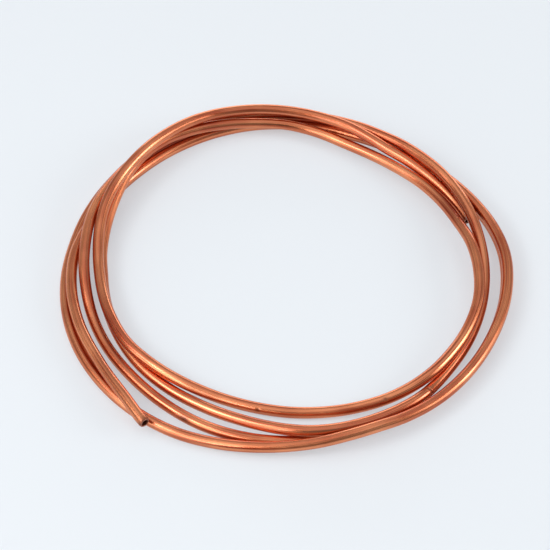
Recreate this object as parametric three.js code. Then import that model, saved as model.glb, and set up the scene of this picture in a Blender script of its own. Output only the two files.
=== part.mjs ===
/**
 * Loose coil of soft copper tube, lying flat.
 *
 * One continuous round tube with its bore open from end to end, wound by hand into a few
 * large turns that wander, climb over and dip under one another as a real coil does.
 *
 * Millimetres, +Z up. The origin is the centre of the coil's bounding box, on the floor.
 */
import * as THREE from 'three';

// Driving dimensions
const TUBE_OUTER_DIAMETER = 6.35;
const TUBE_WALL = 0.8;
const COIL_RADIUS = 117.5; // coil axis to the tube's centre line in lane 0
const TURN_CLEARANCE = 0.3; // gap between turns one whole lane or layer apart

// Facets of the swept section
const OUTER_FACETS = 12;
const BORE_FACETS = 8;
const STEP_DEGREES = 360 / 51; // sweep step, so that neighbouring turns share their corners

const TUBE_RADIUS = TUBE_OUTER_DIAMETER / 2;
const BORE_RADIUS = TUBE_RADIUS - TUBE_WALL;
const TURN_PITCH = TUBE_OUTER_DIAMETER + TURN_CLEARANCE;

/**
 * The route of the winding, turn by turn, from the free end to the end tucked into the bundle.
 * Each station is [angle in degrees, lane, layer]: angles run clockwise seen from above, lanes
 * count outwards from COIL_RADIUS and layers upwards from the floor, both in turn pitches.
 */
const TURNS = [
  // The free end lies over the next turn, drops inside it and leaves the bundle at the back.
  [
    [123.8, 2.88, 1.02], [132.5, 1.9, 1.02], [145, 1.2, 0.8], [160, 1, 0.85], [172.5, 0.85, 0.9],
    [182.5, 0.62, 0.9], [190, 0.3, 0.72], [197.5, 0.05, 0.52], [205, -0.1, 0.3], [215, -0.2, 0.05],
    [222.5, -0.27, 0], [235, -0.35, 0], [250, -0.4, 0], [260, -0.45, 0], [270, -0.6, 0],
    [280, -0.79, 0], [290, -0.9, 0], [300, -0.97, 0.2], [310, -0.9, 0.42], [317.5, -0.8, 0.66],
    [325, -0.62, 0.92], [332.5, -0.25, 0.99], [340, 0.19, 1], [347.5, 0.65, 1], [357.5, 1.12, 1],
  ],
  // The widest turn: carried on the next one at the right, down on the floor at the front.
  [
    [10, 1.27, 1], [25, 1.3, 1], [40, 1.42, 0.98], [50, 1.47, 1], [60, 1.48, 1.2],
    [67.5, 1.45, 1.4], [75, 1.45, 1.32], [82.5, 1.38, 0.9], [90, 1.38, 0.6], [97.5, 1.42, 0.32],
    [107.5, 1.58, 0.05], [117.5, 1.84, 0], [130, 1.94, 0], [147.5, 1.86, 0], [162.5, 1.65, 0],
    [177.5, 1.3, 0], [187.5, 1.03, 0], [200, 0.9, 0], [215, 0.84, 0], [235, 0.8, 0], [250, 0.76, 0],
    [262.5, 0.66, 0], [275, 0.42, 0], [290, 0.12, 0], [305, 0.05, 0], [317.5, -0.05, 0],
    [327.5, -0.04, 0], [335, 0.28, 0], [345, 0.8, 0], [355, 1.12, 0],
  ],
  // Hidden under the widest turn at first, then up over the free end and across the back.
  [
    [7.5, 1.17, 0], [25, 1.07, 0], [42.5, 1, 0], [50, 0.96, 0], [57.5, 0.8, 0], [67.5, 0.52, 0],
    [77.5, 0.44, 0], [90, 0.5, 0], [100, 0.45, 0], [112.5, 0.25, 0], [125, -0.1, 0],
    [137.5, -0.34, 0], [152.5, -0.38, 0], [162.5, -0.36, 0.2], [170, -0.34, 0.75],
    [177.5, -0.3, 1.3], [185, -0.25, 1.55], [192.5, -0.12, 1.62], [200, 0.02, 1.48],
    [207.5, 0.14, 1.22], [215, 0.25, 1], [227.5, 0.27, 0.9], [240, 0.2, 0.9], [255, 0.05, 0.9],
    [265, -0.1, 0.92], [275, -0.3, 0.92], [285, -0.42, 0.9], [292.5, -0.56, 1], [300, -0.86, 1.28],
    [307.5, -0.99, 1.52], [316, -1.1, 1.72], [325, -1.1, 1.83], [332.5, -1.02, 1.7],
    [342.5, -0.96, 1.55], [352.5, -0.86, 1.12],
  ],
  // Kinked at the right, on the floor at the left, deep inside the bundle at the back.
  [
    [2.5, -0.75, 0.8], [15, -0.62, 0.5], [30, -0.45, 0.3], [40, -0.28, 0.3], [46, -0.03, 0.44],
    [52.5, 0.36, 0.85], [60, 0.5, 1], [70, 0.48, 1.02], [77.5, 0.4, 1], [84, 0.25, 0.98],
    [90, -0.08, 0.85], [97.5, -0.62, 0.55], [105, -1.08, 0.26], [115, -1.42, 0.04], [125, -1.52, 0],
    [140, -1.6, 0], [155, -1.76, 0], [167.5, -1.82, 0], [177.5, -1.8, 0], [185, -1.58, 0.19],
    [193, -1.4, 0.6], [200, -1.23, 1], [207.5, -0.96, 1.36], [215, -0.6, 1.6], [222.5, -0.35, 1.74],
    [230, -0.32, 1.77], [240, -0.57, 1.62], [250, -0.85, 1.3], [260, -1.1, 0.95],
    [270, -1.38, 0.76], [280, -1.86, 0.54], [290, -2.44, 0.42], [300, -2.74, 0.46],
    [312.5, -2.85, 0.66], [322.5, -2.7, 0.82], [335, -2.46, 1.02], [345, -2.22, 1.3],
    [355, -1.76, 1.66],
  ],
  // The innermost turn climbs the pile at the left, then ducks under it at the tucked end.
  [
    [5, -1.32, 1.68], [15, -0.93, 1.54], [25, -0.78, 1.38], [37.5, -0.72, 1.26], [46, -0.66, 1.25],
    [52.5, -0.8, 1], [60, -1.1, 0.68], [70, -1.6, 0.34], [80, -2.08, 0.08], [90, -2.4, 0],
    [100, -2.64, 0], [110, -2.72, 0.08], [118, -2.58, 0.32], [124, -2.36, 0.6], [130, -2.14, 0.82],
    [137.5, -1.92, 0.95], [146, -1.68, 1.02], [157.5, -1.66, 1.02], [172.5, -1.62, 1.02],
    [180, -1.48, 1.12], [190, -1.18, 1.6], [198, -0.97, 2.06], [206, -0.84, 2.36],
    [215, -0.77, 2.6], [225, -0.64, 2.74], [235, -0.5, 2.72], [241, -0.4, 2.6], [247, -0.27, 2.34],
    [252.5, -0.24, 2.13], [260, -0.4, 2.02], [270, -0.72, 1.9], [280, -1.06, 1.75],
    [290, -1.4, 1.58], [297.5, -1.78, 1.44], [305, -1.98, 1.24], [312.5, -1.88, 1.08],
    [320, -1.76, 0.97], [328, -1.52, 0.83], [335, -1.28, 0.66], [342.6, -1.03, 0.49],
  ],
];

/** The stations of all turns on one running angle. */
function windingStations() {
  return TURNS.flatMap((turn, count) =>
    turn.map(([angle, lane, layer]) => [360 * count + angle, lane, layer]),
  );
}

/** Centre line of the tube, from the free end at t = 0 to the tucked end at t = 1. */
class WindingCurve extends THREE.Curve {
  constructor(stations) {
    super();
    const angles = stations.map(([angle]) => angle);
    const places = stations.flatMap(([, lane, layer]) => [lane, layer]);
    this.startAngle = angles[0];
    this.sweepAngle = angles[angles.length - 1] - angles[0];
    this.places = new THREE.CubicInterpolant(angles, places, 2);
  }

  getPoint(t, target = new THREE.Vector3()) {
    const angle = this.startAngle + t * this.sweepAngle;
    const [lane, layer] = this.places.evaluate(angle);
    const radius = COIL_RADIUS + lane * TURN_PITCH;
    const height = TUBE_RADIUS + Math.max(layer, 0) * TURN_PITCH;
    const turn = THREE.MathUtils.degToRad(angle);
    return target.set(radius * Math.cos(turn), -radius * Math.sin(turn), height);
  }

  /** Even steps in turn angle instead of arc length. */
  getUtoTmapping(u) {
    return u;
  }
}

/** Corners of a regular polygon that stands for a circle. */
function circleCorners(radius, facets) {
  return Array.from({ length: facets }, (_, corner) => {
    const angle = (2 * Math.PI * corner) / facets;
    return new THREE.Vector2(radius * Math.cos(angle), radius * Math.sin(angle));
  });
}

/** Annular section of the tube: its outer wall with the bore as a hole. */
function tubeSection() {
  const section = new THREE.Shape(circleCorners(TUBE_RADIUS, OUTER_FACETS));
  section.holes.push(new THREE.Path(circleCorners(BORE_RADIUS, BORE_FACETS).reverse()));
  return section;
}

/** The tube, swept along its winding and set over the middle of its own footprint. */
function copperTube() {
  const winding = new WindingCurve(windingStations());
  const geometry = new THREE.ExtrudeGeometry(tubeSection(), {
    steps: Math.round(winding.sweepAngle / STEP_DEGREES),
    bevelEnabled: false,
    extrudePath: winding,
  });
  geometry.computeBoundingBox();
  const { min, max } = geometry.boundingBox;
  const copper = new THREE.MeshStandardMaterial({ color: 0xb4653a, roughness: 0.28, metalness: 1.0 });
  const mesh = new THREE.Mesh(geometry, copper);
  mesh.name = 'copper_tube';
  mesh.position.set(-(min.x + max.x) / 2, -(min.y + max.y) / 2, -min.z);
  return mesh;
}

const coil = new THREE.Group();
coil.add(copperTube());

export default coil;
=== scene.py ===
"""Visual model of a loose coil of soft copper tube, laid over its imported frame.

The tube is modelled straight, as it leaves the draw bench: a thin round wall with its bore open and
both ends cut square. It is then wound along its real route, turn over turn, and dressed in drawn
copper. Everything is in metres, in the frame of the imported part.
"""

import logging
import math
from dataclasses import dataclass
from enum import IntEnum

import bmesh
import bpy
import numpy as np
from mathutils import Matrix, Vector


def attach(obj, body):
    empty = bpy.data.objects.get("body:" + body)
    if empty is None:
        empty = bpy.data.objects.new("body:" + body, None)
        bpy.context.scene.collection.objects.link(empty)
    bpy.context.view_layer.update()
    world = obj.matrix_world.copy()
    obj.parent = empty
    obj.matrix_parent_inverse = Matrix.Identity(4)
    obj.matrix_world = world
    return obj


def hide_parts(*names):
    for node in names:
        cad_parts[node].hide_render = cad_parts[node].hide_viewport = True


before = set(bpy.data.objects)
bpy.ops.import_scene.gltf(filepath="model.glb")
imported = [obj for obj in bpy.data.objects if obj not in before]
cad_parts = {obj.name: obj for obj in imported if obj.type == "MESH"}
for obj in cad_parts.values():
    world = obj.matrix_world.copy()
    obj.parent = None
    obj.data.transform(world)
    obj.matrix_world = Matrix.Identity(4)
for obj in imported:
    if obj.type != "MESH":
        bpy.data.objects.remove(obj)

LOG = logging.getLogger("copper_coil")

MM = 0.001
NODE = "copper_tube"
BODY = "root"
TUBE_RADIUS = 3.175 * MM
# Width of the picture that the camera's shift is counted in, in pixels.
IMAGE_SIZE = 550
NOISE_DETAIL = 3.0
# Length of one ring of Blender's wave texture at a scale of 1.
WAVE_PERIOD = math.pi / 10

Station = tuple[float, float, float]

# The route of the winding, turn by turn, from the free end to the end tucked into the bundle.
# Each station is (angle in degrees, lane, layer): angles run clockwise seen from above, lanes
# count outwards from the coil radius and layers upwards from the floor, both in turn pitches.
TURNS: tuple[tuple[Station, ...], ...] = (
    # The free end lies over the next turn, drops inside it and leaves the bundle at the back.
    (
        (123.8, 2.88, 1.02), (132.5, 1.9, 1.02), (145, 1.2, 0.8), (160, 1, 0.85), (172.5, 0.85, 0.9),
        (182.5, 0.62, 0.9), (190, 0.3, 0.72), (197.5, 0.05, 0.52), (205, -0.1, 0.3), (215, -0.2, 0.05),
        (222.5, -0.27, 0), (235, -0.35, 0), (250, -0.4, 0), (260, -0.45, 0), (270, -0.6, 0),
        (280, -0.79, 0), (290, -0.9, 0), (300, -0.97, 0.2), (310, -0.9, 0.42), (317.5, -0.8, 0.66),
        (325, -0.62, 0.92), (332.5, -0.25, 0.99), (340, 0.19, 1), (347.5, 0.65, 1), (357.5, 1.12, 1),
    ),
    # The widest turn: carried on the next one at the right, down on the floor at the front.
    (
        (10, 1.27, 1), (25, 1.3, 1), (40, 1.42, 0.98), (50, 1.47, 1), (60, 1.48, 1.2),
        (67.5, 1.45, 1.4), (75, 1.45, 1.32), (82.5, 1.38, 0.9), (90, 1.38, 0.6), (97.5, 1.42, 0.32),
        (107.5, 1.58, 0.05), (117.5, 1.84, 0), (130, 1.94, 0), (147.5, 1.86, 0), (162.5, 1.65, 0),
        (177.5, 1.3, 0), (187.5, 1.03, 0), (200, 0.9, 0), (215, 0.84, 0), (235, 0.8, 0), (250, 0.76, 0),
        (262.5, 0.66, 0), (275, 0.42, 0), (290, 0.12, 0), (305, 0.05, 0), (317.5, -0.05, 0),
        (327.5, -0.04, 0), (335, 0.28, 0), (345, 0.8, 0), (355, 1.12, 0),
    ),
    # Hidden under the widest turn at first, then up over the free end and across the back.
    (
        (7.5, 1.17, 0), (25, 1.07, 0), (42.5, 1, 0), (50, 0.96, 0), (57.5, 0.8, 0), (67.5, 0.52, 0),
        (77.5, 0.44, 0), (90, 0.5, 0), (100, 0.45, 0), (112.5, 0.25, 0), (125, -0.1, 0),
        (137.5, -0.34, 0), (152.5, -0.38, 0), (162.5, -0.36, 0.2), (170, -0.34, 0.75),
        (177.5, -0.3, 1.3), (185, -0.25, 1.55), (192.5, -0.12, 1.62), (200, 0.02, 1.48),
        (207.5, 0.14, 1.22), (215, 0.25, 1), (227.5, 0.27, 0.9), (240, 0.2, 0.9), (255, 0.05, 0.9),
        (265, -0.1, 0.92), (275, -0.3, 0.92), (285, -0.42, 0.9), (292.5, -0.56, 1), (300, -0.86, 1.28),
        (307.5, -0.99, 1.52), (316, -1.1, 1.72), (325, -1.1, 1.83), (332.5, -1.02, 1.7),
        (342.5, -0.96, 1.55), (352.5, -0.86, 1.12),
    ),
    # Kinked at the right, on the floor at the left, deep inside the bundle at the back.
    (
        (2.5, -0.75, 0.8), (15, -0.62, 0.5), (30, -0.45, 0.3), (40, -0.28, 0.3), (46, -0.03, 0.44),
        (52.5, 0.36, 0.85), (60, 0.5, 1), (70, 0.48, 1.02), (77.5, 0.4, 1), (84, 0.25, 0.98),
        (90, -0.08, 0.85), (97.5, -0.62, 0.55), (105, -1.08, 0.26), (115, -1.42, 0.04), (125, -1.52, 0),
        (140, -1.6, 0), (155, -1.76, 0), (167.5, -1.82, 0), (177.5, -1.8, 0), (185, -1.58, 0.19),
        (193, -1.4, 0.6), (200, -1.23, 1), (207.5, -0.96, 1.36), (215, -0.6, 1.6), (222.5, -0.35, 1.74),
        (230, -0.32, 1.77), (240, -0.57, 1.62), (250, -0.85, 1.3), (260, -1.1, 0.95),
        (270, -1.38, 0.76), (280, -1.86, 0.54), (290, -2.44, 0.42), (300, -2.74, 0.46),
        (312.5, -2.85, 0.66), (322.5, -2.7, 0.82), (335, -2.46, 1.02), (345, -2.22, 1.3),
        (355, -1.76, 1.66),
    ),
    # The innermost turn climbs the pile at the left, then ducks under it at the tucked end.
    (
        (5, -1.32, 1.68), (15, -0.93, 1.54), (25, -0.78, 1.38), (37.5, -0.72, 1.26), (46, -0.66, 1.25),
        (52.5, -0.8, 1), (60, -1.1, 0.68), (70, -1.6, 0.34), (80, -2.08, 0.08), (90, -2.4, 0),
        (100, -2.64, 0), (110, -2.72, 0.08), (118, -2.58, 0.32), (124, -2.36, 0.6), (130, -2.14, 0.82),
        (137.5, -1.92, 0.95), (146, -1.68, 1.02), (157.5, -1.66, 1.02), (172.5, -1.62, 1.02),
        (180, -1.48, 1.12), (190, -1.18, 1.6), (198, -0.97, 2.06), (206, -0.84, 2.36),
        (215, -0.77, 2.6), (225, -0.64, 2.74), (235, -0.5, 2.72), (241, -0.4, 2.6), (247, -0.27, 2.34),
        (252.5, -0.24, 2.13), (260, -0.4, 2.02), (270, -0.72, 1.9), (280, -1.06, 1.75),
        (290, -1.4, 1.58), (297.5, -1.78, 1.44), (305, -1.98, 1.24), (312.5, -1.88, 1.08),
        (320, -1.76, 0.97), (328, -1.52, 0.83), (335, -1.28, 0.66), (342.6, -1.03, 0.49),
    ),
)


def linear(colour: str) -> tuple[float, float, float, float]:
    """Turn an sRGB hex colour into the linear colour that shaders take.

    Args:
        colour: Six hex digits, red, green and blue.

    Returns:
        Linear red, green and blue, with an alpha of one.
    """
    channels = (int(colour[i : i + 2], 16) / 255 for i in (0, 2, 4))
    red, green, blue = (c / 12.92 if c <= 0.04045 else ((c + 0.055) / 1.055) ** 2.4 for c in channels)
    return red, green, blue, 1.0


def add_node(
    tree: bpy.types.NodeTree, kind: str, settings: dict | None = None, **inputs
) -> bpy.types.Node:
    """Add one shader node with its settings and what its inputs take.

    Args:
        tree: Node tree that the node goes into.
        kind: Node type, such as ShaderNodeTexNoise.
        settings: Attributes of the node, by name.
        **inputs: A value or an output socket for each input, by its name with _ for a blank. A list
            fills the inputs that share a name, in their order.

    Returns:
        The new node.
    """
    node = tree.nodes.new(kind)
    for name, value in (settings or {}).items():
        setattr(node, name, value)
    sockets: dict[str, list[bpy.types.NodeSocket]] = {}
    for socket in node.inputs:
        if socket.enabled:
            sockets.setdefault(socket.name.replace(" ", "_"), []).append(socket)
    for name, value in inputs.items():
        for socket, source in zip(sockets[name], value if isinstance(value, list) else [value]):
            if isinstance(source, bpy.types.NodeSocket):
                tree.links.new(source, socket)
            else:
                socket.default_value = source
    return node


def new_material(name: str) -> tuple[bpy.types.Material, bpy.types.NodeTree]:
    """Make a node material with an empty tree.

    Args:
        name: Name of the real material and how its surface was made.

    Returns:
        The material and its tree.
    """
    material = bpy.data.materials.new(name)
    material.use_nodes = True
    material.node_tree.nodes.clear()
    return material, material.node_tree


@dataclass(frozen=True)
class Winding:
    """The route that the tube's centre line follows.

    Attributes:
        coil_radius: Coil axis to the centre line in lane 0.
        turn_pitch: Distance between lanes and between layers.
        tube_radius: Height of the centre line above the floor in layer 0.
        turns: The stations, turn by turn.
        step: Angle between the points that the route is measured at, in degrees.
    """

    coil_radius: float = 117.5 * MM
    turn_pitch: float = 6.65 * MM
    tube_radius: float = TUBE_RADIUS
    turns: tuple[tuple[Station, ...], ...] = TURNS
    step: float = 0.1

    def stations(self) -> np.ndarray:
        """Return the stations of all turns on one running angle, one row each."""
        return np.array(
            [(360 * n + a, lane, layer) for n, turn in enumerate(self.turns) for a, lane, layer in turn]
        )

    def places(self, angles: np.ndarray) -> np.ndarray:
        """Work out the lane and layer at some angles, on a smooth curve through the stations.

        Args:
            angles: Running angles in degrees.

        Returns:
            Lane and layer at each angle, one row each.
        """
        stations = self.stations()
        knots, values = stations[:, 0], stations[:, 1:]
        secants = np.diff(values, axis=0) / np.diff(knots)[:, None]
        slopes = np.vstack([secants[:1], (secants[1:] + secants[:-1]) / 2, secants[-1:]])
        span = np.clip(np.searchsorted(knots, angles, side="right") - 1, 0, len(knots) - 2)
        width = np.diff(knots)[span][:, None]
        p = (angles - knots[span])[:, None] / width
        start, end = values[span], values[span + 1]
        rise = width * ((p**3 - 2 * p**2 + p) * slopes[span] + (p**3 - p**2) * slopes[span + 1])
        return start + (3 * p**2 - 2 * p**3) * (end - start) + rise

    def centre_line(self) -> tuple[np.ndarray, np.ndarray]:
        """Return running angles in even steps and the centre line's point at each."""
        stations = self.stations()
        first, last = stations[0, 0], stations[-1, 0]
        angles = np.linspace(first, last, round((last - first) / self.step) + 1)
        lane, layer = self.places(angles).T
        radius = self.coil_radius + lane * self.turn_pitch
        height = self.tube_radius + np.maximum(layer, 0) * self.turn_pitch
        turn = np.radians(angles)
        return angles, np.column_stack([radius * np.cos(turn), -radius * np.sin(turn), height])

    def axis(self) -> np.ndarray:
        """Return the place of the coil's axis, with the middle of the footprint at the origin."""
        _, line = self.centre_line()
        middle = (line.min(axis=0) + line.max(axis=0)) / 2
        return np.array([-middle[0], -middle[1], 0.0])

    def lengths(self, line: np.ndarray) -> np.ndarray:
        """Return the length of tube from the free end to each point of the centre line."""
        return np.concatenate([[0.0], np.cumsum(np.linalg.norm(np.diff(line, axis=0), axis=1))])

    def length_to(self, turn: int, angle: float) -> float:
        """Return the length of tube from the free end to an angle on one of the turns."""
        angles, line = self.centre_line()
        return float(np.interp(360 * turn + angle, angles, self.lengths(line)))

    def length(self) -> float:
        """Return the whole length of the tube."""
        return float(self.lengths(self.centre_line()[1])[-1])

    def wind(self, straight: np.ndarray) -> np.ndarray:
        """Bend points of the straight tube onto the route.

        Args:
            straight: Points of the straight tube, its axis on Z: X turns outwards, Y upwards.

        Returns:
            The same points on the wound tube.
        """
        _, line = self.centre_line()
        run = self.lengths(line)
        heading = np.gradient(line, run, axis=0)
        heading /= np.linalg.norm(heading, axis=1)[:, None]
        outward = np.cross((0.0, 0.0, 1.0), heading)
        outward /= np.linalg.norm(outward, axis=1)[:, None]
        upward = np.cross(heading, outward)
        at = np.clip(straight[:, 2], 0.0, run[-1])

        def along(values: np.ndarray) -> np.ndarray:
            """Read a column of vectors at each point's length."""
            return np.column_stack([np.interp(at, run, column) for column in values.T])

        across, up = straight[:, :1], straight[:, 1:2]
        return self.axis() + along(line) + across * along(outward) + up * along(upward)


class Surface(IntEnum):
    """The surfaces of the tube, in the order of its material slots."""

    OUTSIDE = 0
    BORE = 1
    CUT = 2


@dataclass(frozen=True)
class DrawnCopper:
    """Soft copper, cold drawn, bright annealed and wound with a film of drawing oil still on it.

    The die leaves a satin wall with hair lines along it. The bare metal is a pale salmon, and the air
    turns it a deeper brown in long streaks. The thin oxide keeps its edges orange at a grazing view,
    where bare metal would turn white. The oil gives narrow creamy highlights over the satin. Dirt
    darkens both ends. Shade is painted dark into the dents, the nick and the kink, and a band at the
    front left is painted darker too.

    Attributes:
        bright: Colour of the metal where no air got at it.
        tarnished: Colour in the middle of a streak of tarnish.
        grazed: Colour of what it mirrors at a grazing view.
        dirt_and_shade_colour: Colour of the dirt on the ends, and of the shade painted into the marks.
        smooth_roughness: Roughness between the hair lines.
        line_roughness: Roughness in the hair lines.
        dirt_and_shade_roughness: Roughness of that dirt and of the marks painted with shade.
        oil: Share of the wall that the film of oil covers.
        oil_roughness: Roughness of that film.
        drawing_line: Width of a hair line, drawn far coarser than the real ones, which wouldn't show.
        drawing_line_length: Length of a hair line.
        line_depth: Depth of a hair line.
        line_noise: Noise that the wall goes from smooth to rough between.
        streak: Width of a streak of tarnish.
        streak_length: Length of a streak of tarnish.
        tarnish_patch: Size of the patches where the streaks are stronger.
        tarnish_noise: Noise, streaks and patches together, that bright turns to tarnished between.
    """

    bright: str = "F69D6A"
    tarnished: str = "A4330A"
    grazed: str = "F2BC9C"
    dirt_and_shade_colour: str = "5A2408"
    smooth_roughness: float = 0.22
    line_roughness: float = 0.38
    dirt_and_shade_roughness: float = 0.55
    oil: float = 0.75
    oil_roughness: float = 0.12
    drawing_line: float = 0.35 * MM
    drawing_line_length: float = 60 * MM
    line_depth: float = 0.0025 * MM
    line_noise: tuple[float, float] = (0.42, 0.58)
    streak: float = 1.5 * MM
    streak_length: float = 70 * MM
    tarnish_patch: float = 45 * MM
    tarnish_noise: tuple[float, float] = (0.7, 1.3)

    def along(self, tree: bpy.types.NodeTree, width: float, length: float) -> bpy.types.Node:
        """Add noise that is stretched along the tube.

        Args:
            tree: Node tree that the noise goes into.
            width: Size of the pattern across the tube.
            length: Size of the pattern along the tube.

        Returns:
            The noise node.
        """
        straight = add_node(tree, "ShaderNodeAttribute", {"attribute_name": "straight_tube"})
        drawn = add_node(
            tree, "ShaderNodeMapping", Vector=straight.outputs["Vector"], Scale=(1, 1, width / length)
        )
        return add_node(
            tree,
            "ShaderNodeTexNoise",
            Vector=drawn.outputs["Vector"],
            Scale=1 / width,
            Detail=NOISE_DETAIL,
        )

    def material(self) -> bpy.types.Material:
        """Build the shader.

        Returns:
            The finished material.
        """
        material, tree = new_material("copper_drawn_bright_annealed")
        lines = self.along(tree, self.drawing_line, self.drawing_line_length)
        streaks = self.along(tree, self.streak, self.streak_length)
        patches = self.along(tree, self.tarnish_patch, self.tarnish_patch)
        roughness = add_node(
            tree,
            "ShaderNodeMapRange",
            Value=lines.outputs["Fac"],
            From_Min=self.line_noise[0],
            From_Max=self.line_noise[1],
            To_Min=self.smooth_roughness,
            To_Max=self.line_roughness,
        )
        # How dark each point is painted: dirt at both ends, painted shade in the dents, nick and kink.
        dirt = add_node(tree, "ShaderNodeAttribute", {"attribute_name": "dirt"})
        dull = add_node(
            tree,
            "ShaderNodeMapRange",
            Value=dirt.outputs["Fac"],
            To_Min=roughness.outputs["Result"],
            To_Max=self.dirt_and_shade_roughness,
        )
        tarnish = add_node(
            tree,
            "ShaderNodeMath",
            {"operation": "ADD"},
            Value=[streaks.outputs["Fac"], patches.outputs["Fac"]],
        )
        shade = add_node(
            tree,
            "ShaderNodeMapRange",
            Value=tarnish.outputs["Value"],
            From_Min=self.tarnish_noise[0],
            From_Max=self.tarnish_noise[1],
        )
        colour = add_node(
            tree,
            "ShaderNodeMix",
            {"data_type": "RGBA"},
            Factor=shade.outputs["Result"],
            A=linear(self.bright),
            B=linear(self.tarnished),
        )
        # Darkens the colour where dirt is and where shade is painted into the marks.
        darkened = add_node(
            tree,
            "ShaderNodeMix",
            {"data_type": "RGBA"},
            Factor=dirt.outputs["Fac"],
            A=colour.outputs["Result"],
            B=linear(self.dirt_and_shade_colour),
        )
        bump = add_node(
            tree,
            "ShaderNodeBump",
            Height=lines.outputs["Fac"],
            Distance=self.line_depth,
            Strength=1.0,
        )
        shader = add_node(
            tree,
            "ShaderNodeBsdfPrincipled",
            Base_Color=darkened.outputs["Result"],
            Metallic=1.0,
            Roughness=dull.outputs["Result"],
            Specular_Tint=linear(self.grazed),
            Coat_Weight=self.oil,
            Coat_Roughness=self.oil_roughness,
            Normal=bump.outputs["Normal"],
        )
        add_node(tree, "ShaderNodeOutputMaterial", Surface=shader.outputs["BSDF"])
        return material


@dataclass(frozen=True)
class OxidisedBore:
    """The inside of the tube, which was never wiped after annealing.

    A thin brown oxide lies on the copper in patches, so the bore looks a dull dark red by its mouths.

    Attributes:
        oxide: Colour of the oxide.
        bare: Colour of the copper where the oxide is thin.
        roughness: Roughness of both.
        patch: Size of a patch.
    """

    oxide: str = "5E2A1C"
    bare: str = "9A5236"
    roughness: float = 0.6
    patch: float = 2.5 * MM

    def material(self) -> bpy.types.Material:
        """Build the shader.

        Returns:
            The finished material.
        """
        material, tree = new_material("copper_bore_oxidised_in_annealing")
        straight = add_node(tree, "ShaderNodeAttribute", {"attribute_name": "straight_tube"})
        patches = add_node(
            tree,
            "ShaderNodeTexNoise",
            Vector=straight.outputs["Vector"],
            Scale=1 / self.patch,
            Detail=NOISE_DETAIL,
        )
        colour = add_node(
            tree,
            "ShaderNodeMix",
            {"data_type": "RGBA"},
            Factor=patches.outputs["Fac"],
            A=linear(self.oxide),
            B=linear(self.bare),
        )
        shader = add_node(
            tree,
            "ShaderNodeBsdfPrincipled",
            Base_Color=colour.outputs["Result"],
            Metallic=patches.outputs["Fac"],
            Roughness=self.roughness,
        )
        add_node(tree, "ShaderNodeOutputMaterial", Surface=shader.outputs["BSDF"])
        return material


@dataclass(frozen=True)
class WheelCutCopper:
    """Copper bared by a tube cutter's wheel, and browned since.

    The wheel leaves fine rings round the end. Bare metal takes up dirt and air faster than the oiled
    wall does, so the rim is a dull brown line round the dark mouth.

    Attributes:
        browned: Colour of the cut.
        roughness: Roughness of the cut.
        wheel_ring: Distance between the rings, drawn coarser than the real ones, which wouldn't show.
        ring_depth: Depth of the rings.
    """

    browned: str = "A8705C"
    roughness: float = 0.38
    wheel_ring: float = 0.15 * MM
    ring_depth: float = 0.01 * MM

    def material(self) -> bpy.types.Material:
        """Build the shader.

        Returns:
            The finished material.
        """
        material, tree = new_material("copper_cut_by_wheel")
        straight = add_node(tree, "ShaderNodeAttribute", {"attribute_name": "straight_tube"})
        rings = add_node(
            tree,
            "ShaderNodeTexWave",
            {"wave_type": "RINGS", "rings_direction": "Z"},
            Vector=straight.outputs["Vector"],
            Scale=WAVE_PERIOD / self.wheel_ring,
        )
        bump = add_node(
            tree,
            "ShaderNodeBump",
            Height=rings.outputs["Fac"],
            Distance=self.ring_depth,
            Strength=1.0,
        )
        shader = add_node(
            tree,
            "ShaderNodeBsdfPrincipled",
            Base_Color=linear(self.browned),
            Metallic=1.0,
            Roughness=self.roughness,
            Normal=bump.outputs["Normal"],
        )
        add_node(tree, "ShaderNodeOutputMaterial", Surface=shader.outputs["BSDF"])
        return material


@dataclass(frozen=True)
class Mark:
    """A small mark that handling left in the wall.

    Attributes:
        name: What it is and where.
        turn: Which turn it is on, counted from nought at the free end.
        angle: Its place along that turn, in degrees.
        bearing: Its place round the tube, in degrees up from the side that faces outwards.
        depth: How far the wall is pushed in at its middle.
        length: Its reach along the tube.
        width: Its reach round the tube.
        dirt: How much darker its middle is painted, 1 at most.
    """

    name: str
    turn: int
    angle: float
    bearing: float
    depth: float
    length: float
    width: float
    dirt: float

    def press(self, straight: np.ndarray, along: float, radius: float) -> tuple[np.ndarray, np.ndarray]:
        """Work out how far the mark pushes points of the straight tube in; its lips stand out a little.

        Args:
            straight: Points of the straight tube.
            along: Length of tube from the free end to the mark.
            radius: Outside radius of the tube.

        Returns:
            The push towards the axis and how much darker each point is painted.
        """
        run = (straight[:, 2] - along) / self.length
        turned = np.arctan2(straight[:, 1], straight[:, 0]) - math.radians(self.bearing)
        arc = radius * (np.mod(turned + math.pi, 2 * math.pi) - math.pi) / self.width
        share = np.exp(-(run**2 + arc**2) / 2)
        return self.depth * (1 - run**2) * share, self.dirt * share


MARKS = (
    # Shade painted dark into the kink's crease.
    Mark("kink", 3, 50.3, 62, 0.45 * MM, 0.65 * MM, 1.9 * MM, 0.6),
    # Shade painted dark into the nick.
    Mark("nick_by_tucked_end", 3, 343.6, 70, 0.35 * MM, 0.7 * MM, 1.0 * MM, 0.6),
    # Shade painted dark into the dent.
    Mark("dent_at_front", 4, 98.8, 36, 0.1 * MM, 1.1 * MM, 0.65 * MM, 0.95),
    # A band painted darker along the outward side of this turn.
    Mark("grease_at_front_left", 2, 117.2, 34, 0.0, 2.8 * MM, 1.1 * MM, 0.9),
    # Shade painted dark into the dent.
    Mark("dent_at_right", 4, 61.1, 61, 0.2 * MM, 1.1 * MM, 0.8 * MM, 0.7),
)


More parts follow.
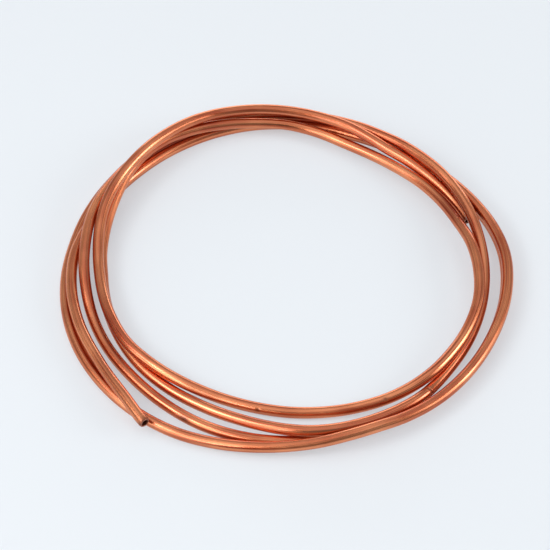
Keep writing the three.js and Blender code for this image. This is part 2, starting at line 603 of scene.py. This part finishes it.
@dataclass(frozen=True)
class CopperTube:
    """The coil's one piece of tube.

    Attributes:
        winding: Route of its centre line.
        outer_radius: Outside of the wall.
        wall: Wall thickness.
        sides: Flats of the round section.
        cuts: Rings that the mesh gets along the length, in two goes.
        rim: Round that the cutting wheel leaves on the rims of both ends.
        rim_segments: Flats of that round.
        squeeze: How far the wheel squeezes the wall in at both ends.
        squeeze_length: Length of tube that it squeezes.
        end_dirt: How dirty handling has made both ends, 1 at most.
        end_dirt_length: Length of tube that it fades out over.
        marks: Marks of handling.
        mark_reach: How many of its lengths a mark's extra rings go to each side.
        mark_ring: Distance between the extra rings at marks and ends.
        snap: Distance at which an extra ring takes one that is there.
        end_slope: Slope past which a face is flat on an end, as the Z of its normal.
        cut_slope: Slope past which a face belongs to the cut.
    """

    winding: Winding
    outer_radius: float = TUBE_RADIUS
    wall: float = 0.8 * MM
    sides: int = 32
    cuts: tuple[int, int] = (27, 39)
    rim: float = 0.12 * MM
    rim_segments: int = 2
    squeeze: float = 0.35 * MM
    squeeze_length: float = 1.4 * MM
    end_dirt: float = 0.85
    end_dirt_length: float = 4 * MM
    marks: tuple[Mark, ...] = MARKS
    mark_reach: float = 4.0
    mark_ring: float = 0.35 * MM
    snap: float = 0.01 * MM
    end_slope: float = 0.9
    cut_slope: float = 0.3

    def place(self, mark: Mark) -> float:
        """Return the length of tube from the free end to a mark."""
        return self.winding.length_to(mark.turn, mark.angle)

    def add_rings(self, bm: bmesh.types.BMesh, start: float, end: float) -> None:
        """Cut extra rings into a stretch of the straight sleeve.

        Args:
            bm: The sleeve.
            start: Length of tube from the free end to where the rings start.
            end: Length of tube from the free end to where they end.
        """
        heights = {f: [v.co.z for v in f.verts] for f in bm.faces}
        faces = [f for f, z in heights.items() if max(z) > start and min(z) < end]
        edges = list(dict.fromkeys(e for f in faces for e in f.edges))
        geometry = faces + edges + list(dict.fromkeys(v for f in faces for v in f.verts))
        for ring in np.arange(start, end, self.mark_ring):
            cut = bmesh.ops.bisect_plane(
                bm, geom=geometry, dist=self.snap, plane_co=(0, 0, float(ring)), plane_no=(0, 0, 1)
            )
            geometry = cut["geom"]

    def shape(self, straight: np.ndarray) -> tuple[np.ndarray, np.ndarray]:
        """Squeeze the ends of the straight tube and press its marks in.

        Args:
            straight: Points of the straight tube.

        Returns:
            The same points, moved towards or away from its axis, and how dark each is painted: dirt
            at the ends, and the marks painted darker.
        """
        length = self.winding.length()
        radius = np.hypot(straight[:, 0], straight[:, 1])
        to_end = np.minimum(straight[:, 2], length - straight[:, 2])
        push = self.squeeze * np.clip(1 - to_end / self.squeeze_length, 0, 1) ** 2
        dirt = self.end_dirt * np.clip(1 - to_end / self.end_dirt_length, 0, 1)
        # Each mark paints its place darker.
        for mark in self.marks:
            along = self.place(mark)
            pressed, darkened = mark.press(straight, along, self.outer_radius)
            push, dirt = push + pressed, np.maximum(dirt, darkened)
            LOG.info("%s: %.3f m from the free end", mark.name, along)
        inwards = 1 - push / radius
        return straight * np.column_stack([inwards, inwards, np.ones_like(push)]), dirt

    def surface(self, face: bmesh.types.BMFace) -> Surface:
        """Tell which surface of the straight tube a face belongs to."""
        if abs(face.normal.z) > self.cut_slope:
            return Surface.CUT
        middle = face.calc_center_median()
        inside = math.hypot(middle.x, middle.y) < self.outer_radius - self.wall / 2
        return Surface.BORE if inside else Surface.OUTSIDE

    def straight_mesh(self) -> bpy.types.Mesh:
        """Model the straight tube: a sleeve drawn to length, given its wall and its rims.

        Returns:
            The mesh, its axis on Z and its free end at zero.
        """
        length = self.winding.length()
        bm = bmesh.new()
        bmesh.ops.create_cone(
            bm, segments=self.sides, radius1=self.outer_radius, radius2=self.outer_radius, depth=length
        )
        bmesh.ops.translate(bm, verts=bm.verts, vec=(0, 0, length / 2))
        for cuts in self.cuts:
            runs = [e for e in bm.edges if abs(e.verts[0].co.z - e.verts[1].co.z) > self.rim]
            bmesh.ops.subdivide_edges(bm, edges=runs, cuts=cuts)
        self.add_rings(bm, self.mark_ring, self.squeeze_length)
        self.add_rings(bm, length - self.squeeze_length, length - self.mark_ring / 2)
        for mark in self.marks:
            along, reach = self.place(mark), self.mark_reach * mark.length
            self.add_rings(bm, along - reach, along + reach)
        bmesh.ops.solidify(bm, geom=bm.faces[:], thickness=self.wall)
        bm.normal_update()
        rims = [
            e for e in bm.edges if sum(abs(f.normal.z) > self.end_slope for f in e.link_faces) == 1
        ]
        bmesh.ops.bevel(
            bm,
            geom=rims,
            offset=self.rim,
            offset_type="OFFSET",
            segments=self.rim_segments,
            profile=0.5,
            affect="EDGES",
            material=-1,
        )
        bm.normal_update()
        for face in bm.faces:
            face.smooth = True
            face.material_index = self.surface(face)
        mesh = bpy.data.meshes.new("copper_tube_coil")
        bm.to_mesh(mesh)
        bm.free()
        return mesh

    def build(self, finishes: dict[Surface, bpy.types.Material]) -> bpy.types.Object:
        """Model the straight tube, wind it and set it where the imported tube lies.

        Args:
            finishes: Finish of each surface of the tube.

        Returns:
            The finished piece.
        """
        mesh = self.straight_mesh()
        straight = np.empty(len(mesh.vertices) * 3)
        mesh.vertices.foreach_get("co", straight)
        drawn = mesh.attributes.new("straight_tube", "FLOAT_VECTOR", "POINT")
        drawn.data.foreach_set("vector", straight)
        shaped, dirt = self.shape(straight.reshape(-1, 3))
        mesh.attributes.new("dirt", "FLOAT", "POINT").data.foreach_set("value", dirt)
        mesh.vertices.foreach_set("co", self.winding.wind(shaped).ravel())
        mesh.update()
        for surface in Surface:
            mesh.materials.append(finishes[surface])
        piece = bpy.data.objects.new("copper_tube_coil", mesh)
        bpy.context.scene.collection.objects.link(piece)
        return piece


@dataclass(frozen=True)
class SoftBox:
    """One soft box, at a bearing from the coil.

    Attributes:
        name: Name of the light.
        azimuth: Its bearing, clockwise from the back, in degrees.
        elevation: Its angle above the floor, in degrees.
        distance: From the coil to its face.
        size: Width and height of its face.
        brightness: What a white reflection of it renders as.
    """

    name: str
    azimuth: float
    elevation: float
    distance: float
    size: tuple[float, float]
    brightness: float


@dataclass(frozen=True)
class Studio:
    """Plain pale floor, soft light and the camera.

    Attributes:
        axis: The coil's axis at the height of its lowest turn, which all else is set from.
        elevation: Angle of the camera above the floor, in degrees.
        distance: From the axis to the camera.
        lens: Focal length, in millimetres.
        sensor: Width of the sensor, in millimetres.
        clip: Nearest and furthest that the camera sees.
        shift: Shift of the camera's frame, in frames.
        floor_colour: Colour of the floor.
        floor_roughness: Roughness of its paint.
        floor_glow: Share of the floor that shows its own colour, unshaded, so its shadows stay pale.
        floor_size: Length of its sides.
        wall_colour: Colour of the walls.
        wall_brightness_front: Brightness of the walls in front of the coil.
        wall_brightness_back: Brightness of the walls behind it.
        boxes: The soft boxes.
    """

    axis: Vector
    elevation: float = 50.277
    distance: float = 1.1694
    lens: float = 133.53
    sensor: float = 36.0
    clip: tuple[float, float] = (0.01, 50.0)
    shift: tuple[float, float] = (-12 / IMAGE_SIZE, -7.126 / IMAGE_SIZE)
    floor_colour: str = "E9EEF3"
    floor_roughness: float = 0.9
    floor_glow: float = 0.5
    floor_size: float = 8.0
    wall_colour: str = "F2F4F6"
    wall_brightness_front: float = 0.21
    wall_brightness_back: float = 0.55
    boxes: tuple[SoftBox, ...] = (
        SoftBox("soft_box_left_high", 247, 48, 1.6, (1.1, 0.9), 2.1),
        SoftBox("soft_box_left_low", 231, 17, 1.6, (1.4, 0.8), 1.45),
        SoftBox("soft_box_right", 97, 23, 1.6, (0.95, 1.0), 1.9),
        SoftBox("soft_box_back", 5, 8, 1.6, (1.85, 0.65), 2.3),
        SoftBox("soft_box_overhead", 0, 90, 2.0, (2.6, 2.6), 0.5),
        SoftBox("hot_spot_left", 246, 45, 1.55, (0.42, 0.38), 7.2),
        SoftBox("hot_spot_front_left", 212, 36, 1.55, (0.35, 0.32), 5.8),
        SoftBox("hot_spot_right", 94, 26, 1.55, (0.32, 0.6), 6.5),
    )

    def camera(self) -> None:
        """Set the camera up on the viewing angle."""
        data = bpy.data.cameras.new("camera")
        data.sensor_width = self.sensor
        data.lens = self.lens
        data.shift_x, data.shift_y = self.shift
        data.clip_start, data.clip_end = self.clip
        camera = bpy.data.objects.new("camera", data)
        tilt = math.radians(self.elevation)
        camera.location = self.axis + self.distance * Vector((0, -math.cos(tilt), math.sin(tilt)))
        camera.rotation_euler = (math.pi / 2 - tilt, 0, 0)
        bpy.context.scene.collection.objects.link(camera)
        bpy.context.scene.camera = camera

    def floor(self) -> None:
        """Lay the floor that the coil lies on."""
        bm = bmesh.new()
        bmesh.ops.create_grid(bm, x_segments=1, y_segments=1, size=self.floor_size / 2)
        mesh = bpy.data.meshes.new("floor")
        bm.to_mesh(mesh)
        bm.free()
        material, tree = new_material("floor_matt_paint")
        colour = linear(self.floor_colour)
        paint = add_node(
            tree, "ShaderNodeBsdfPrincipled", Base_Color=colour, Roughness=self.floor_roughness
        )
        glow = add_node(tree, "ShaderNodeEmission", Color=colour, Strength=1.0)
        path = add_node(tree, "ShaderNodeLightPath")
        seen = path.outputs["Is Camera Ray"]
        for ray in ("Is Glossy Ray", "Is Transmission Ray"):
            either = add_node(
                tree, "ShaderNodeMath", {"operation": "MAXIMUM"}, Value=[seen, path.outputs[ray]]
            )
            seen = either.outputs["Value"]
        share = add_node(
            tree, "ShaderNodeMath", {"operation": "MULTIPLY"}, Value=[seen, self.floor_glow]
        )
        mixed = add_node(
            tree,
            "ShaderNodeMixShader",
            Fac=share.outputs["Value"],
            Shader=[paint.outputs["BSDF"], glow.outputs["Emission"]],
        )
        add_node(tree, "ShaderNodeOutputMaterial", Surface=mixed.outputs["Shader"])
        mesh.materials.append(material)
        floor = bpy.data.objects.new("floor", mesh)
        bpy.context.scene.collection.objects.link(floor)

    def soft_box(self, box: SoftBox) -> None:
        """Hang one soft box that looks at the coil.

        Args:
            box: Its place, size and brightness.
        """
        turn, tilt = math.radians(box.azimuth), math.radians(box.elevation)
        level = math.cos(tilt)
        out = Vector((math.sin(turn) * level, math.cos(turn) * level, math.sin(tilt)))
        data = bpy.data.lights.new(box.name, "AREA")
        data.shape = "RECTANGLE"
        data.size, data.size_y = box.size
        data.energy = box.brightness * math.pi * box.size[0] * box.size[1]
        light = bpy.data.objects.new(box.name, data)
        light.location = self.axis + box.distance * out
        light.rotation_euler = out.to_track_quat("Z", "Y").to_euler()
        light.visible_camera = False
        bpy.context.scene.collection.objects.link(light)

    def lights(self) -> None:
        """Light the coil softly from above and both sides, in a room that is brighter at the back."""
        for box in self.boxes:
            self.soft_box(box)
        world = bpy.data.worlds.new("studio")
        world.use_nodes = True
        tree = world.node_tree
        direction = add_node(tree, "ShaderNodeTexCoord")
        depth = add_node(tree, "ShaderNodeSeparateXYZ", Vector=direction.outputs["Generated"])
        strength = add_node(
            tree,
            "ShaderNodeMapRange",
            Value=depth.outputs["Y"],
            From_Min=-1.0,
            From_Max=1.0,
            To_Min=self.wall_brightness_front,
            To_Max=self.wall_brightness_back,
        )
        background = tree.nodes["Background"]
        background.inputs["Color"].default_value = linear(self.wall_colour)
        tree.links.new(strength.outputs["Result"], background.inputs["Strength"])
        bpy.context.scene.world = world


def main() -> None:
    """Build the coil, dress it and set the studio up."""
    logging.basicConfig(level=logging.INFO, format="%(name)s: %(message)s")
    scene = bpy.context.scene
    scene.view_settings.view_transform = "Standard"
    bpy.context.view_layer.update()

    tube = CopperTube(Winding())
    coil = tube.build(
        {
            Surface.OUTSIDE: DrawnCopper().material(),
            Surface.BORE: OxidisedBore().material(),
            Surface.CUT: WheelCutCopper().material(),
        }
    )
    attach(coil, BODY)
    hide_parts(NODE)
    LOG.info("%s: %d faces, %.3f m of tube", coil.name, len(coil.data.polygons), tube.winding.length())

    studio = Studio(axis=Vector(tube.winding.axis()) + Vector((0, 0, tube.outer_radius)))
    studio.camera()
    studio.floor()
    studio.lights()


if __name__ == "__main__":
    main()
